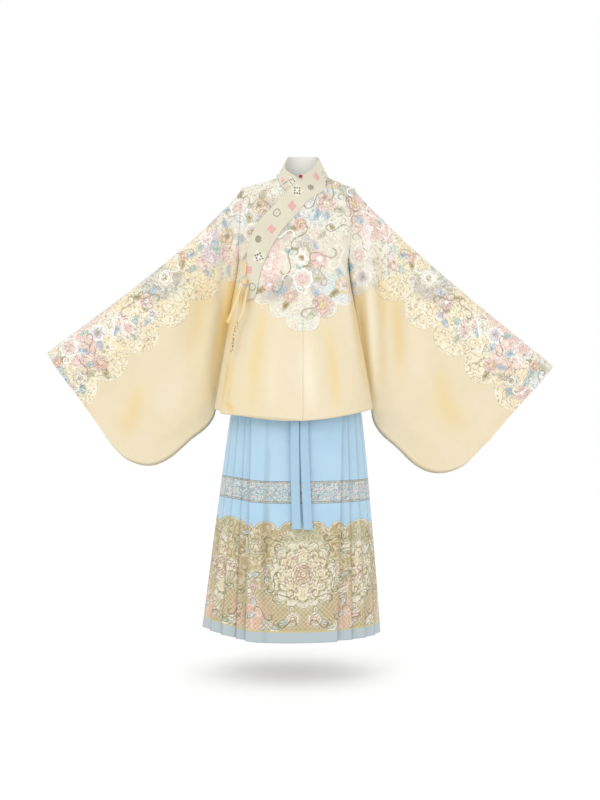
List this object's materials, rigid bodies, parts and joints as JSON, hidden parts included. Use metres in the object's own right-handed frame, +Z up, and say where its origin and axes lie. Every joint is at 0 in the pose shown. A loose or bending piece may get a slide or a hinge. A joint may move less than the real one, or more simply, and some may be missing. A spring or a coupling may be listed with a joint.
{
  "type": "two-piece hanfu robe",
  "caption": "Wide-sleeved satin jacket with a crossed collar band over a pleated wrap skirt, filled out and hollow as if worn.",
  "frame": {"origin": "middle of the neck on the shoulder line, where the wearer's shoulders hold the jacket", "axes": "+X to the wearer's left along the sleeves' span, +Y to the wearer's back, +Z up"},
  "size_m": [1.4881, 0.4156, 1.405],
  "materials": {
    "gold_satin": "satin with a woven figure",
    "cream_satin": "satin with small figures",
    "red_cord": "matt cord",
    "tie_satin": "satin",
    "blue_satin": "satin with woven gold borders",
    "blue_ribbon": "plain weave, edge stitched"
  },
  "bodies": {
    "root": {"body_left": "gold_satin", "body_right": "gold_satin", "front_overlap": "gold_satin", "sleeve_left": "gold_satin", "sleeve_right": "gold_satin", "collar_band": "cream_satin", "collar_knot": "red_cord", "side_tie_knot": "tie_satin", "side_tie_strap": "tie_satin", "side_tie_loop": "tie_satin", "side_tie_tail_long": "tie_satin", "side_tie_tail_figured": "tie_satin", "skirt_right": "blue_satin", "skirt_left": "blue_satin", "skirt_waistband": "blue_satin", "skirt_ribbon_right": "blue_ribbon", "skirt_ribbon_left": "blue_ribbon"}
  },
  "joints": []
}
